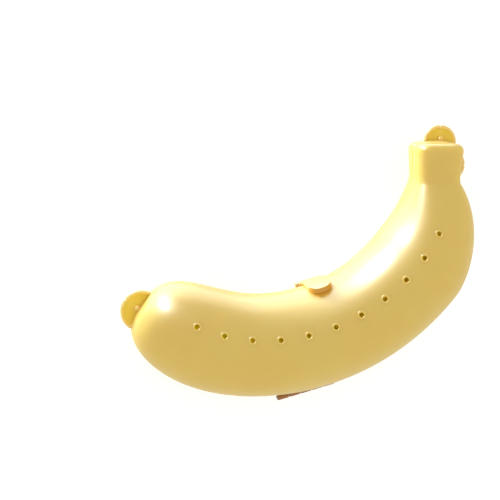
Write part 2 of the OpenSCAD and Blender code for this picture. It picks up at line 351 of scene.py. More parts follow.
@dataclass(frozen=True)
class DrawnSteel(Finish):
    """Steel wire with fine drawing lines that run along X."""

    light: Colour
    dark: Colour
    lines: Noise = Noise(2600.0, 3.0)
    stretch: Spot = (0.02, 1.0, 1.0)
    line_span: Flat = (0.3, 0.7)
    line_bump: float = 0.1
    line_depth: float = 0.0001
    roughness: float = 0.3
    roughness_spread: float = 0.2

    def feeds(self, maker: NodeMaker, place: Socket) -> dict[str, Any]:
        """Takes the colour, the roughness and the relief from the lines.

        Args:
            maker: the material's node maker.
            place: the Object coordinates.

        Returns:
            What the surface shader takes.
        """
        along = maker.add("ShaderNodeMapping", inputs={"Vector": place, "Scale": self.stretch})
        lines = self.lines.over(maker, along)
        start, end = self.line_span
        return {
            "Base Color": maker.ramp(lines, (start, self.dark), (end, self.light)),
            "Roughness": lines.about(self.roughness, self.roughness_spread),
            "Normal": maker.bump(lines, self.line_bump, self.line_depth),
            "Metallic": 1.0,
        }


@dataclass(frozen=True)
class PaleFloor(Finish):
    """The plain pale studio floor, with a faint grain in its roughness."""

    colour: Colour = (0.8, 0.84, 0.99, 1.0)
    glow: float = 0.45
    grain: Noise = Noise(60.0)
    roughness: float = 0.65
    roughness_spread: float = 0.1

    def feeds(self, maker: NodeMaker, place: Socket) -> dict[str, Any]:
        """Takes an even colour, a faint glow and no reflection.

        Args:
            maker: the material's node maker.
            place: the Object coordinates.

        Returns:
            What the surface shader takes.
        """
        grain = self.grain.over(maker, place)
        return {
            "Base Color": self.colour,
            "Roughness": grain.about(self.roughness, self.roughness_spread),
            "Specular IOR Level": 0.0,
            "Emission Color": WHITE,
            "Emission Strength": self.glow,
        }


# Meshes


def circle(radius: float, steps: int) -> list[Flat]:
    """Points of a circle about the origin."""
    turns = [FULL_TURN * i / steps for i in range(steps)]
    return [(radius * math.cos(turn), radius * math.sin(turn)) for turn in turns]


def quarter(steps: int) -> list[float]:
    """Angles from 0 to a quarter turn."""
    return [QUARTER_TURN * i / steps for i in range(steps + 1)]


def both_ends(end: Sequence[Flat], x0: float, x1: float) -> list[Flat]:
    """Puts the same end, with places that count inward, at x0 and at x1."""
    return [(x0 + x, r) for x, r in end] + [(x1 - x, r) for x, r in reversed(end)]


def closed_pairs(ring: list[Vert]) -> list[tuple[Vert, Vert]]:
    """Each point of a closed loop with the next one."""
    return list(zip(ring, ring[1:] + ring[:1]))


class Mould:
    """Builds closed meshes from loops of points in millimetres."""

    LIP_STEPS = 4
    BORE_STEPS = 24

    def __init__(self) -> None:
        """Starts an empty mesh."""
        self.mesh = bmesh.new()
        self.thin = self.mesh.verts.layers.float.new(PAINTED_SHADE)

    def ring(self, loop: Sequence[Spot], thin: float = 0.0) -> list[Vert]:
        """Adds a loop of points.

        Args:
            loop: the points, in millimetres.
            thin: share of the painted-shade colour there, 0 to 1.

        Returns:
            The new vertices.
        """
        made = [self.mesh.verts.new([c * MM for c in point]) for point in loop]
        for vert in made:
            vert[self.thin] = thin
        return made

    def join(self, first: list[Vert], second: list[Vert]) -> None:
        """Closes the band between two loops of the same count."""
        for (a, b), (c, d) in zip(closed_pairs(first), closed_pairs(second)):
            self.mesh.faces.new((a, b, d, c))

    def chain(self, rings: Sequence[list[Vert]]) -> None:
        """Closes the bands between loops that follow each other."""
        for first, second in zip(rings, rings[1:]):
            self.join(first, second)

    def band(self, first: Sequence[Vert], second: Sequence[Vert]) -> None:
        """Closes the strip between two open rows of points."""
        for a, b, c, d in zip(first, first[1:], second[1:], second):
            self.mesh.faces.new((a, b, c, d))

    def cap(self, outer: list[Vert], hole: list[Vert] | None = None) -> None:
        """Fills the area inside a loop, round a hole if there is one.

        Args:
            outer: the loop.
            hole: the loop of the hole.
        """
        if hole is None:
            self.mesh.faces.new(outer)
            return
        edges = self.mesh.edges
        pairs = closed_pairs(outer) + closed_pairs(hole)
        bmesh.ops.triangle_fill(self.mesh, use_beauty=True, edges=[
            edges.get(pair) or edges.new(pair) for pair in pairs])

    def turned(self, profile: Sequence[Flat], centre: Spot, axis: Axis, steps: int = 40) -> None:
        """Adds a closed turned solid.

        Args:
            profile: places along the axis and radii; where its ends differ from 0 the solid
                is a ring.
            centre: the point that the places along the axis count from.
            axis: the axis that the solid is turned about.
            steps: points round the solid.
        """
        rings = []
        for place, radius in profile:
            loop = []
            for across in circle(radius, steps if radius > 0 else 1):
                offset = (place, *across) if axis is Axis.X else (*across, place)
                loop.append(tuple(c + o for c, o in zip(centre, offset)))
            rings.append(self.ring(loop))
        pairs = list(zip(rings, rings[1:]))
        if len(rings[0]) > 1:
            pairs.append((rings[-1], rings[0]))
        for first, second in pairs:
            if len(first) == len(second):
                self.join(first, second)
            else:
                pole, loop = sorted((first, second), key=len)
                for a, b in closed_pairs(loop):
                    self.mesh.faces.new((*pole, a, b))

    def prism(self, outline: Sequence[Flat], x0: float, x1: float, lip: float = 0.0,
              bore: Spot | None = None) -> None:
        """Adds a solid with one outline in Y and Z, pushed along X.

        Args:
            outline: the Y and Z of its points.
            x0: where it starts.
            x1: where it ends.
            lip: radius of a rounded lip at both ends; the sides between the lips lie that
                much further in.
            bore: Y, Z and radius of a bore through it, if it has one.
        """
        middle = [sum(p[k] for p in outline) / len(outline) for k in (0, 1)]
        turns = quarter(self.LIP_STEPS) if lip > 0 else [0.0]
        end = [(lip * (1 - math.sin(turn)), lip * (1 - math.cos(turn))) for turn in turns]
        rings = []
        for x, inset in both_ends(end, x0, x1):
            loop = []
            for y, z in outline:
                out = Vector((y - middle[0], z - middle[1]))
                keep = max(0.0, 1 - inset / out.length)
                loop.append((x, middle[0] + out.x * keep, middle[1] + out.y * keep))
            rings.append(self.ring(loop))
        self.chain(rings)
        holes = [None, None]
        if bore is not None:
            y, z, radius = bore
            loop = circle(radius, self.BORE_STEPS)
            holes = [self.ring([(x, y + a, z + b) for a, b in loop]) for x in (x0, x1)]
            self.join(*holes)
        self.cap(rings[0], holes[0])
        self.cap(rings[-1], holes[1])

    def finish(self, name: str, material: Material | None = None, crease: float = CREASE) -> Thing:
        """Ends the mesh.

        Args:
            name: name of the new object.
            material: its finish, if it is to be seen.
            crease: edges sharper than this many degrees stay sharp.

        Returns:
            The object, in the scene.
        """
        bmesh.ops.recalc_face_normals(self.mesh, faces=self.mesh.faces)
        self._turn_out()
        data = bpy.data.meshes.new(name)
        self.mesh.to_mesh(data)
        self.mesh.free()
        return placed(name, data, material, crease)

    def _turn_out(self) -> None:
        """Turns round the faces of each separate solid that would face inward."""
        left = set(self.mesh.faces)
        while left:
            solid, edge = set(), [left.pop()]
            while edge:
                face = edge.pop()
                solid.add(face)
                near = {other for side in face.edges for other in side.link_faces} & left
                left -= near
                edge += near
            volume = sum(face.calc_center_median().dot(face.normal) * face.calc_area()
                         for face in solid)
            if volume < 0:
                bmesh.ops.reverse_faces(self.mesh, faces=list(solid))


class GrowthTree(NodeMaker):
    """A geometry tree with a named input for each value that it is given."""

    KINDS = ((float, "NodeSocketFloat"), (int, "NodeSocketInt"),
             (Thing, "NodeSocketObject"), (Material, "NodeSocketMaterial"))

    def __init__(self, name: str, material: Material, values: dict[str, Any]) -> None:
        """Starts the tree.

        Args:
            name: name of the object that it makes.
            material: the finish of that object.
            values: what each input is set to, a number or an object.
        """
        super().__init__(bpy.data.node_groups.new(name + "_tree", "GeometryNodeTree"))
        self.name = name
        self.values = values | {"finish": material}
        interface = self.tree.interface
        interface.new_socket(name="Geometry", in_out="OUTPUT", socket_type="NodeSocketGeometry")
        for label, value in self.values.items():
            kind = next(socket for held, socket in self.KINDS if isinstance(value, held))
            interface.new_socket(name=label, in_out="INPUT", socket_type=kind)
        self.given = self.add("NodeGroupInput").outputs
        self.size = SimpleNamespace(**{
            label: Value(self, self.given[label]) for label, value in values.items()
            if isinstance(value, (float, int))})

    def shape(self, label: str) -> Socket:
        """Adds the shape of an object that the tree is given."""
        info = self.add("GeometryNodeObjectInfo", inputs={"Object": self.given[label]})
        return info.outputs["Geometry"]

    def grow(self, geometry: Node, crease: float = CREASE) -> Thing:
        """Ends the tree, runs it and keeps what it makes as a plain mesh.

        Args:
            geometry: the node that gives the shape.
            crease: edges sharper than this many degrees stay sharp.

        Returns:
            The object, without the modifier.
        """
        real = self.add("GeometryNodeRealizeInstances", inputs={"Geometry": geometry})
        dressed = self.add("GeometryNodeSetMaterial", inputs={
            "Geometry": real, "Material": self.given["finish"]})
        self.add("NodeGroupOutput", inputs={0: dressed})
        seed = bpy.data.objects.new(self.name + "_seed", bpy.data.meshes.new(self.name + "_seed"))
        bpy.context.scene.collection.objects.link(seed)
        modifier = seed.modifiers.new("grow", "NODES")
        modifier.node_group = self.tree
        for item in self.tree.interface.items_tree:
            if item.in_out == "INPUT":
                modifier[item.identifier] = self.values[item.name]
        bpy.context.view_layer.update()
        shown = seed.evaluated_get(bpy.context.evaluated_depsgraph_get())
        data = bpy.data.meshes.new_from_object(shown)
        data.name = self.name
        seed.modifiers.clear()
        bpy.data.objects.remove(seed)
        return placed(self.name, data, self.values["finish"], crease)


def placed(name: str, data: bpy.types.Mesh, material: Material | None, crease: float) -> Thing:
    """Puts a mesh into the scene with smooth faces and sharp creases.

    Args:
        name: name of the new object.
        data: its mesh.
        material: its finish, if it is to be seen.
        crease: edges sharper than this many degrees stay sharp.

    Returns:
        The object.
    """
    data.shade_smooth()
    data.set_sharp_from_angle(angle=crease * RAD)
    if material is not None:
        data.materials.clear()
        data.materials.append(material)
    made = bpy.data.objects.new(name, data)
    bpy.context.scene.collection.objects.link(made)
    return made


def hidden(made: Thing) -> Thing:
    """Takes a shape out of the scene but keeps its mesh for the trees that use it."""
    bpy.context.scene.collection.objects.unlink(made)
    return made


def taken(made: Thing, body: str, slot: str, *nodes: str) -> Thing:
    """Ties a finished piece to the frame.

    Args:
        made: the piece.
        body: the body that it moves with.
        slot: the record's finish that it would take; not used.
        nodes: the nodes that it stands for.

    Returns:
        The piece.
    """
    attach(made, body)
    if nodes:
        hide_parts(*nodes)
    return made


# Sizes that several pieces share


@dataclass
class CaseSizes:
    """Lengths of the case in millimetres and angles in degrees."""

    bend_r: float = 106.5
    tip_angle: float = 51.5
    tip_lift: float = 3.0
    lift_angle: float = 14.0
    shoulder_angle: float = 37.5
    neck_angle: float = 62.5
    body_r: float = 27.0
    wall: float = 2.2
    seam: float = 0.3
    rest_flat: float = 0.3
    tip_len: float = 58.0
    tip_power: float = 2.9
    neck_r: float = 94.9
    neck_w: float = 25.0
    neck_power: float = 3.5
    shoulder_power: float = 1.6
    stem_angle: float = 74.5
    stem_len: float = 20.5
    stem_base_w: float = 23.4
    stem_top_w: float = 26.4
    stem_edge_r: float = 4.0
    stem_crown: float = 1.3
    stem_power: float = 4.0
    rim_round: float = 0.45
    hinge_out: float = 0.35
    pin_r: float = 0.8
    pin_fit: float = 0.05

    @property
    def hinge_y(self) -> float:
        """Where the hinge line lies."""
        return -(self.body_r + self.hinge_out)

    @property
    def mid_z(self) -> float:
        """Height of the seam above the table."""
        return self.body_r - self.rest_flat

    @property
    def bore_r(self) -> float:
        """Radius of the bores that the pins sit in."""
        return self.pin_r + self.pin_fit

    @property
    def root(self) -> float:
        """How deep a web or an ear is rooted in the wall."""
        return ROOT_SHARE * self.wall

    def mid_radius(self, angle: float) -> float:
        """Distance of the tube's middle from the centre of the bend, at an angle."""
        curl = max(0.0, -angle - self.lift_angle) / (self.tip_angle - self.lift_angle)
        return self.bend_r - self.tip_lift * curl ** 2

    def bend_point(self, radius: float, angle: float) -> Vector:
        """Point at a distance from the centre of the bend, at an angle."""
        turn = angle * RAD
        return Vector((radius * math.sin(turn), self.bend_r - radius * math.cos(turn)))

    def concave_y(self, x: float, height: float) -> float:
        """Where the concave side of the tube lies at x, at a height above or below the seam."""
        side_r = self.bend_r - math.sqrt(self.body_r ** 2 - height ** 2)
        return self.bend_r - math.sqrt(side_r ** 2 - x ** 2)

    def stem_point(self, height: float) -> Vector:
        """Point on the middle line of the stem, at a height above the neck."""
        neck = self.bend_point(self.neck_r, self.neck_angle)
        return neck + height * self.along(self.stem_angle)

    def stem_half(self, height: float) -> float:
        """Half the width of the stem at a height above the neck."""
        widening = (self.stem_top_w - self.stem_base_w) * height / self.stem_len
        return (self.stem_base_w + widening) / 2

    @staticmethod
    def along(angle: float) -> Vector:
        """Unit vector along a direction in the seam's plane."""
        return Vector((math.cos(angle * RAD), math.sin(angle * RAD)))


# The two half shells


@dataclass
class Vents:
    """The row of vents in each half; the cutter's reach counts in walls."""

    count: int = 11
    step: float = 8.5
    shift: float = 5.5
    turn: float = 17.5
    radius: float = 1.2
    flare: float = 0.35
    reach: float = 2.5
    rim_out: float = 0.55
    rim_tube: float = 0.55
    rim_flat: float = 0.45
    cutter_steps: int = 28
    rim_steps: int = 40
    tube_steps: int = 12

    def cutter(self, wall: float) -> Thing:
        """Makes the turned cutter of one vent, with a flared mouth.

        Args:
            wall: thickness of the shell.

        Returns:
            The cutter, out of the scene.
        """
        deep = self.reach * wall
        wide = self.radius + self.flare
        mould = Mould()
        mould.turned([(-deep, 0.0), (-deep, self.radius), (-self.flare, self.radius), (0.0, wide),
                      (self.flare, wide + self.flare), (self.flare, 0.0)],
                     (0.0, 0.0, 0.0), Axis.Z, self.cutter_steps)
        return hidden(mould.finish("vent_cutter"))


@dataclass
class HalfShell:
    """One half of the tube, swept along the bend from the tip to the stem by one geometry tree."""

    sizes: CaseSizes
    vents: Vents
    side: Side
    dome_rows: int = 54
    body_rows: int = 56
    shoulder_rows: int = 48
    stem_rows: int = 18
    edge_rows: int = 10
    cap_rows: int = 6
    outer_steps: int = 84
    rim_steps: int = 3
    inner_steps: int = 44
    stem_blend: float = 0.2
    least_edge: float = 0.25
    shoulder_squaring: float = 3.0
    round_power: float = 2.0
    weld: float = 1e-6
    crease: float = 32.0

    def build(self, cutters: Thing, vent_cutter: Thing, material: Material) -> Thing:
        """Grows the shell and cuts the vents and the other hollows out of it.

        Args:
            cutters: solids that are cut out of the shell.
            vent_cutter: the solid that cuts one vent.
            material: the shell's finish.

        Returns:
            The shell.
        """
        tree = GrowthTree(self.side.body + "_shell", material, self._values() | {
            "cutters": cutters, "vent_cutter": vent_cutter})
        skin = self._skin(tree)
        spots, way = self._vent_spots(tree, skin)
        holes = tree.add("GeometryNodeInstanceOnPoints", inputs={
            "Points": spots, "Instance": tree.shape("vent_cutter"), "Rotation": way})
        real_holes = tree.add("GeometryNodeRealizeInstances", inputs={"Geometry": holes})
        cut = tree.add("GeometryNodeMeshBoolean", {"operation": "DIFFERENCE", "solver": "EXACT"}, {
            "Mesh 1": skin, "Mesh 2": [real_holes, tree.shape("cutters")]})
        return tree.grow(cut, self.crease)

    def rims(self, material: Material) -> Thing:
        """Lays a slim raised rim round each vent, in a brighter yellow that paints the light the
        rims catch and let through.

        Args:
            material: the finish of the rims.

        Returns:
            The rims.
        """
        tree = GrowthTree(self.side.word + "_vent_rims", material, self._values())
        spots, way = self._vent_spots(tree, self._skin(tree))
        path = tree.add("GeometryNodeCurvePrimitiveCircle", inputs={
            "Resolution": self.vents.rim_steps, "Radius": tree.size.vent_rim_r * MM})
        tube = tree.add("GeometryNodeCurvePrimitiveCircle", inputs={
            "Resolution": self.vents.tube_steps, "Radius": tree.size.vent_rim_tube * MM})
        rim = tree.add("GeometryNodeCurveToMesh", inputs={"Curve": path, "Profile Curve": tube})
        flat = tree.add("GeometryNodeTransform", inputs={
            "Geometry": rim, "Scale": (1.0, 1.0, self.vents.rim_flat)})
        return tree.grow(tree.add("GeometryNodeInstanceOnPoints", inputs={
            "Points": spots, "Instance": flat, "Rotation": way}))

    def _values(self) -> dict[str, Any]:
        """The sizes that both trees are given."""
        vents = self.vents
        return asdict(self.sizes) | {
            "vent_count": vents.count, "vent_step": vents.step, "vent_shift": vents.shift,
            "vent_turn": vents.turn, "vent_rim_r": vents.radius + vents.rim_out,
            "vent_rim_tube": vents.rim_tube}

    def _skin(self, tree: GrowthTree) -> Node:
        """Sweeps the closed wall section along the bend.

        Args:
            tree: the tree that gets the nodes.

        Returns:
            The node that gives the closed shell.
        """
        size = tree.size
        rows = (self.dome_rows, self.body_rows, self.shoulder_rows, self.stem_rows,
                self.edge_rows, self.cap_rows)
        steps = (self.outer_steps, self.rim_steps, self.inner_steps, self.rim_steps)
        grid = tree.add("GeometryNodeMeshGrid", inputs={
            "Size X": 1.0, "Size Y": 1.0,
            "Vertices X": sum(rows) + 1, "Vertices Y": sum(steps) + 1})
        flat = tree.add("ShaderNodeSeparateXYZ", inputs={0: tree.add("GeometryNodeInputPosition")})
        u, v = (Value(tree, flat.outputs[k]) + 0.5 for k in (0, 1))
        dome, body, shoulder, stem, edge, cap = self._stages(u, rows)
        outer, rim_in, inner, rim_out = self._stages(v, steps)
        inset = size.wall * (rim_in - rim_out)
        turn = HALF_TURN * ((1 - (outer * HALF_TURN).cos()) / 2 - inner)

        # The middle line: the angle about the bend, then the height along the stem
        dome_turn = dome * QUARTER_TURN
        dome_power = 2 / size.tip_power
        reach = inset + (size.tip_len - inset) * (1 - dome_turn.cos().at_least(0.0) ** dome_power)
        dome_end = size.tip_len / size.bend_r - size.tip_angle * RAD
        angle = (reach / size.bend_r - size.tip_angle * RAD
                 + body * (size.shoulder_angle * RAD - dome_end)
                 + shoulder * (size.neck_angle - size.shoulder_angle) * RAD)
        ease = shoulder ** size.shoulder_power
        radius = self._mid_radius(size, angle) - (size.bend_r - size.neck_r) * ease
        edge_r = (size.stem_edge_r - inset).at_least(size.stem_edge_r * self.least_edge)
        edge_turn = edge * QUARTER_TURN
        height = (size.stem_len - inset - edge_r) * stem + edge_r * edge_turn.sin()
        stem_way = size.stem_angle * RAD
        way = angle + (stem_way - angle) * ease
        along = height + size.stem_crown * (1 - (1 - cap) * (1 - cap))
        middle_x = radius * angle.sin() + along * stem_way.cos()
        middle_y = size.bend_r - radius * angle.cos() + along * stem_way.sin()

        # The section: half its width, how square it is, and its place across and above the seam
        tube_half = ((size.body_r - inset) * dome_turn.sin() ** dome_power
                     - (size.body_r - size.neck_w / 2) * ease)
        stem_start = stem.span(0.0, self.stem_blend)
        widening = (size.stem_top_w - size.stem_base_w) * height / size.stem_len
        stem_half = (size.stem_base_w + widening) / 2
        half = (tube_half + (stem_half - inset - tube_half) * stem_start
                - edge_r * (1 - edge_turn.cos())) * (1 - cap)
        square = (self.round_power
                  + (size.neck_power - self.round_power) * shoulder ** self.shoulder_squaring
                  + (size.stem_power - size.neck_power) * stem_start)
        power = 2 / square
        half_seam = size.seam / 2
        rise = (half - half_seam).at_least(0.0) * turn.sin().at_least(0.0) ** power
        low = size.rim_round - rise.at_most(size.rim_round)
        rounding = size.rim_round - (size.rim_round ** 2 - low * low).at_least(0.0) ** 0.5
        rounding = rounding.at_most(half / 2) * (1 - inset / size.wall)
        across = turn.cos().sign() * (half * turn.cos().size() ** power - rounding)
        up = size.body_r - size.rest_flat + (half_seam + rise) * float(self.side.value)
        spot = tree.add("ShaderNodeCombineXYZ", inputs={
            0: (middle_x + across * way.sin()) * MM, 1: (middle_y - across * way.cos()) * MM,
            2: up.at_least(0.0) * MM})
        swept = tree.add("GeometryNodeSetPosition", inputs={"Geometry": grid, "Position": spot})
        closed = tree.add("GeometryNodeMergeByDistance", inputs={
            "Geometry": swept, "Distance": self.weld})
        if self.side is Side.FRONT:
            return closed
        return tree.add("GeometryNodeFlipFaces", inputs={"Mesh": closed})

    @staticmethod
    def _mid_radius(size: SimpleNamespace, angle: Value) -> Value:
        """Distance of the tube's middle from the centre of the bend, at an angle."""
        curl = (angle / -RAD - size.lift_angle).at_least(0.0) / (size.tip_angle - size.lift_angle)
        return size.bend_r - size.tip_lift * curl * curl

    @staticmethod
    def _stages(value: Value, counts: Sequence[int]) -> list[Value]:
        """Splits a value from 0 to 1 into stages of so many rows that run one after the other."""
        ends = [sum(counts[:i]) / sum(counts) for i in range(len(counts) + 1)]
        return [value.span(start, end) for start, end in zip(ends, ends[1:])]

    def _vent_spots(self, tree: GrowthTree, skin: Node) -> tuple[Node, Node]:
        """Finds where each vent's axis meets the outside of the shell.

        Args:
            tree: the tree that gets the nodes.
            skin: the node that gives the closed shell.

        Returns:
            Points at the places, and the turn that each one gives to what stands on it.
        """
        size = tree.size
        line = tree.add("GeometryNodeMeshLine", inputs={"Count": size.vent_count})
        number = Value(tree, tree.add("GeometryNodeInputIndex").outputs[0])
        place = size.vent_shift + (number - (size.vent_count - 1) / 2) * size.vent_step
        angle, lean = place * RAD, size.vent_turn * RAD
        radius = self._mid_radius(size, angle)
        out = tree.add("ShaderNodeCombineXYZ", inputs={
            0: angle.sin() * lean.sin() * -1, 1: angle.cos() * lean.sin(),
            2: lean.cos() * float(self.side.value)})
        middle = tree.add("ShaderNodeCombineXYZ", inputs={
            0: radius * angle.sin() * MM, 1: (size.bend_r - radius * angle.cos()) * MM,
            2: (size.body_r - size.rest_flat) * MM})
        far = tree.add("ShaderNodeVectorMath", {"operation": "SCALE"}, {
            0: out, "Scale": size.body_r * (2 * MM)})
        source = tree.add("ShaderNodeVectorMath", {"operation": "ADD"}, {0: middle, 1: far})
        back = tree.add("ShaderNodeVectorMath", {"operation": "SCALE"}, {0: out, "Scale": -1.0})
        ray = tree.add("GeometryNodeRaycast", inputs={
            "Target Geometry": skin, "Source Position": source, "Ray Direction": back,
            "Ray Length": 1.0})
        turn = tree.add("FunctionNodeAlignRotationToVector", {"axis": "Z"}, {
            "Vector": ray.outputs["Hit Normal"]})
        turned = tree.add("GeometryNodeStoreNamedAttribute", {"data_type": "QUATERNION"}, {
            "Geometry": line, "Name": "vent_way", "Value": turn})
        spots = tree.add("GeometryNodeSetPosition", inputs={
            "Geometry": turned, "Position": ray.outputs["Hit Position"]})
        way = tree.add("GeometryNodeInputNamedAttribute", {"data_type": "QUATERNION"}, {
            "Name": "vent_way"})
        return spots, way


# The hinge at the belly


@dataclass
class Hinge:
    """Knuckles and pin of the belly hinge; the head's shape is in shares of its size."""

    sizes: CaseSizes
    reach: float = 25.0
    count: int = 5
    length: float = 6.0
    gap: float = 0.35
    clear: float = 0.3
    radius: float = 1.5
    web_t: float = 1.5
    head_r: float = 1.2
    head_t: float = 0.6
    edge: float = 0.25
    head_shape: tuple[Flat, ...] = (
        (0.0, 0.0), (0.0, 0.55), (0.15, 0.8), (0.4, 0.95), (0.7, 1.0), (0.9, 1.0), (1.0, 0.94))

    @property
    def centre(self) -> Spot:
        """A point on the hinge line."""
        return (0.0, self.sizes.hinge_y, self.sizes.mid_z)

    @property
    def pitch(self) -> float:
        """Distance from one knuckle to the next."""
        return self.length + self.gap

    @property
    def end(self) -> float:
        """Where the last knuckle ends."""
        return -self.reach + self.count * self.pitch - self.gap

    def start_of(self, number: int) -> float:
        """Where a knuckle starts."""
        return -self.reach + number * self.pitch

    def numbers(self, side: Side) -> range:
        """Numbers of the knuckles that a half has."""
        return range(1 if side is Side.FRONT else 0, self.count, 2)

    def rooms(self, mould: Mould, side: Side) -> None:
        """Adds the cutters for the other half's knuckles and the pin's heads.

        Args:
            mould: the mesh that gets the cutters.
            side: the half that is cut.
        """
        wide = self.radius + self.clear
        head_wide = self.head_r + self.clear
        head_room = self.sizes.pin_fit + self.head_t + self.gap
        first, last = -self.reach - head_room, self.end + head_room
        for number in self.numbers(side.other):
            x0 = self.start_of(number) - self.gap
            x1 = self.start_of(number) + self.length + self.gap
            profile = both_ends([(0.0, 0.0), (0.0, wide)], x0, x1)
            if number == 0:
                profile[:1] = [(first, 0.0), (first, head_wide), (x0, head_wide)]
            if number == self.count - 1:
                profile[-1:] = [(x1, head_wide), (last, head_wide), (last, 0.0)]
            mould.turned(profile, self.centre, Axis.X)
        if side is Side.BACK:
            for x0, x1 in ((first, -self.reach), (self.end, last)):
                room = both_ends([(0.0, 0.0), (0.0, head_wide)], x0, x1)
                mould.turned(room, self.centre, Axis.X)

    def knuckles(self, side: Side, material: Material) -> Thing:
        """Makes every second knuckle with a tree that repeats one along the hinge line.

        Args:
            side: the half that they belong to.
            material: their finish.

        Returns:
            The knuckles.
        """
        name = side.word + "_knuckles"
        bore = self.sizes.bore_r
        mould = Mould()
        mould.turned(both_ends([(0.0, bore), (0.0, self.radius - self.edge),
                                (self.edge, self.radius)], 0.0, self.length), self.centre, Axis.X)
        y, z = self.sizes.hinge_y, self.sizes.mid_z
        near = y + bore + self.edge
        foot = y + self.sizes.hinge_out + self.sizes.root
        z0 = z + side.value * self.sizes.seam / 2
        z1 = z0 + side.value * self.web_t
        mould.prism([(near, z0), (foot, z0), (foot, z1), (near, z1)], 0.0, self.length, self.edge)
        numbers = self.numbers(side)
        tree = GrowthTree(name, material, {
            "count": len(numbers), "start": self.start_of(numbers[0]), "step": 2 * self.pitch,
            "knuckle": hidden(mould.finish(name + "_one", material))})
        start, step = (tree.add("ShaderNodeCombineXYZ", inputs={0: length * MM})
                       for length in (tree.size.start, tree.size.step))
        row = tree.add("GeometryNodeMeshLine", {"mode": "OFFSET"}, {
            "Count": tree.size.count, "Start Location": start, "Offset": step})
        return tree.grow(tree.add("GeometryNodeInstanceOnPoints", inputs={
            "Points": row, "Instance": tree.shape("knuckle")}))

    def pin(self, material: Material) -> Thing:
        """Makes the pin with a rounded head at each end.

        Args:
            material: its finish.

        Returns:
            The pin.
        """
        head = [(x * self.head_t, r * self.head_r) for x, r in self.head_shape]
        head.append((self.head_t, self.sizes.pin_r))
        past = self.sizes.pin_fit + self.head_t
        mould = Mould()
        mould.turned(both_ends(head, -self.reach - past, self.end + past), self.centre, Axis.X)
        return mould.finish("belly_hinge_pin", material)


# The latch on the concave side


